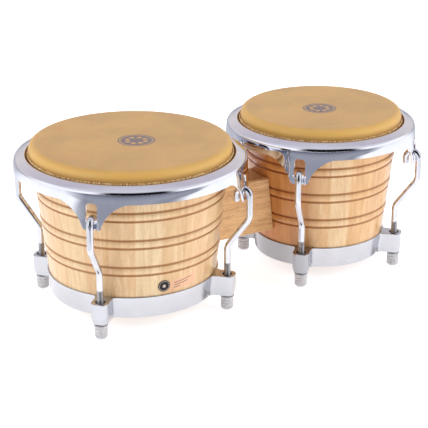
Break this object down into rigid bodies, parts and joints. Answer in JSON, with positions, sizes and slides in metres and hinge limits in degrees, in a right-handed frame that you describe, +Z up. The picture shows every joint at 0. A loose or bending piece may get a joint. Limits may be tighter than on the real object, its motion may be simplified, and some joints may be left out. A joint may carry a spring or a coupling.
{
  "type": "bongo drums",
  "caption": "Pair of tunable wooden hand drums of two sizes, joined by a centre block, with skin heads, chromed rims, hooked tuning lugs and cast bottom rings.",
  "frame": {"origin": "on the ground under the middle of the outline; z = 0 is the bottom of the nut caps that the drums stand on", "axes": "+Z up along both drum axes, +X from the large drum to the small drum, -Y is the front that faces the player"},
  "size_m": [0.475, 0.2504, 0.185],
  "materials": {
    "large_shell_wood": "satin lacquer",
    "small_shell_wood": "satin lacquer",
    "block_wood": "satin lacquer",
    "saddle_wood": "bare",
    "skin": "rawhide, slightly glossy",
    "skin_edge": "rawhide, rough cut edge",
    "chrome": "polished",
    "lug_chrome": "polished",
    "ring_aluminium": "polished",
    "steel": "zinc plated",
    "black_washer": "matte",
    "cap_rubber": "matte",
    "badge": "gloss"
  },
  "bodies": {
    "drum_frame": {"large_shell": "large_shell_wood", "large_head_skin": "skin", "large_bottom_ring": "ring_aluminium", "large_boss_washers": "black_washer", "large_saddle": "saddle_wood", "small_shell": "small_shell_wood", "small_head_skin": "skin", "small_bottom_ring": "ring_aluminium", "small_boss_washers": "black_washer", "small_saddle": "saddle_wood", "centre_block": "block_wood", "centre_bolt_lower": "steel", "centre_bolt_upper": "steel", "centre_nut_lower": "steel", "centre_nut_upper": "steel", "centre_washers_lower": "steel", "centre_washers_upper": "steel", "badge": "badge"},
    "large_tension_group": {"large_rim": "chrome", "large_flesh_hoop": "steel", "large_head_collar": "skin_edge", "large_lug_1": "lug_chrome", "large_lug_2": "lug_chrome", "large_lug_3": "lug_chrome", "large_lug_4": "lug_chrome"},
    "large_nut_group_1": {"large_tuning_nut_1": "steel", "large_nut_cap_1": "cap_rubber"},
    "large_nut_group_2": {"large_tuning_nut_2": "steel", "large_nut_cap_2": "cap_rubber"},
    "large_nut_group_3": {"large_tuning_nut_3": "steel", "large_nut_cap_3": "cap_rubber"},
    "large_nut_group_4": {"large_tuning_nut_4": "steel", "large_nut_cap_4": "cap_rubber"},
    "small_tension_group": {"small_rim": "chrome", "small_flesh_hoop": "steel", "small_head_collar": "skin_edge", "small_lug_1": "lug_chrome", "small_lug_2": "lug_chrome", "small_lug_3": "lug_chrome", "small_lug_4": "lug_chrome"},
    "small_nut_group_1": {"small_tuning_nut_1": "steel", "small_nut_cap_1": "cap_rubber"},
    "small_nut_group_2": {"small_tuning_nut_2": "steel", "small_nut_cap_2": "cap_rubber"},
    "small_nut_group_3": {"small_tuning_nut_3": "steel", "small_nut_cap_3": "cap_rubber"},
    "small_nut_group_4": {"small_tuning_nut_4": "steel", "small_nut_cap_4": "cap_rubber"}
  },
  "joints": [
    {"name": "large_head_tension", "type": "slide", "parent": "drum_frame", "child": "large_tension_group", "axis": [0, 0, -1], "range_m": [-0.003, 0.004]},
    {"name": "large_nut_1_turn", "type": "hinge", "parent": "drum_frame", "child": "large_nut_group_1", "pos_m": [-0.03645, 0.0758, 0.0115], "axis": [0, 0, 1], "range_deg": [-860, 1145]},
    {"name": "large_nut_2_turn", "type": "hinge", "parent": "drum_frame", "child": "large_nut_group_2", "pos_m": [-0.18805, 0.0758, 0.0115], "axis": [0, 0, 1], "range_deg": [-860, 1145]},
    {"name": "large_nut_3_turn", "type": "hinge", "parent": "drum_frame", "child": "large_nut_group_3", "pos_m": [-0.18805, -0.0758, 0.0115], "axis": [0, 0, 1], "range_deg": [-860, 1145]},
    {"name": "large_nut_4_turn", "type": "hinge", "parent": "drum_frame", "child": "large_nut_group_4", "pos_m": [-0.03645, -0.0758, 0.0115], "axis": [0, 0, 1], "range_deg": [-860, 1145]},
    {"name": "small_head_tension", "type": "slide", "parent": "drum_frame", "child": "small_tension_group", "axis": [0, 0, -1], "range_m": [-0.003, 0.004]},
    {"name": "small_nut_1_turn", "type": "hinge", "parent": "drum_frame", "child": "small_nut_group_1", "pos_m": [0.19318, 0.06343, 0.0115], "axis": [0, 0, 1], "range_deg": [-860, 1145]},
    {"name": "small_nut_2_turn", "type": "hinge", "parent": "drum_frame", "child": "small_nut_group_2", "pos_m": [0.06632, 0.06343, 0.0115], "axis": [0, 0, 1], "range_deg": [-860, 1145]},
    {"name": "small_nut_3_turn", "type": "hinge", "parent": "drum_frame", "child": "small_nut_group_3", "pos_m": [0.06632, -0.06343, 0.0115], "axis": [0, 0, 1], "range_deg": [-860, 1145]},
    {"name": "small_nut_4_turn", "type": "hinge", "parent": "drum_frame", "child": "small_nut_group_4", "pos_m": [0.19318, -0.06343, 0.0115], "axis": [0, 0, 1], "range_deg": [-860, 1145]}
  ],
  "couplings": [
    {"joint": "large_nut_1_turn", "follows": "large_head_tension", "rad_per_m": 4947.4},
    {"joint": "large_nut_2_turn", "follows": "large_head_tension", "rad_per_m": 4947.4},
    {"joint": "large_nut_3_turn", "follows": "large_head_tension", "rad_per_m": 4947.4},
    {"joint": "large_nut_4_turn", "follows": "large_head_tension", "rad_per_m": 4947.4},
    {"joint": "small_nut_1_turn", "follows": "small_head_tension", "rad_per_m": 4947.4},
    {"joint": "small_nut_2_turn", "follows": "small_head_tension", "rad_per_m": 4947.4},
    {"joint": "small_nut_3_turn", "follows": "small_head_tension", "rad_per_m": 4947.4},
    {"joint": "small_nut_4_turn", "follows": "small_head_tension", "rad_per_m": 4947.4}
  ]
}
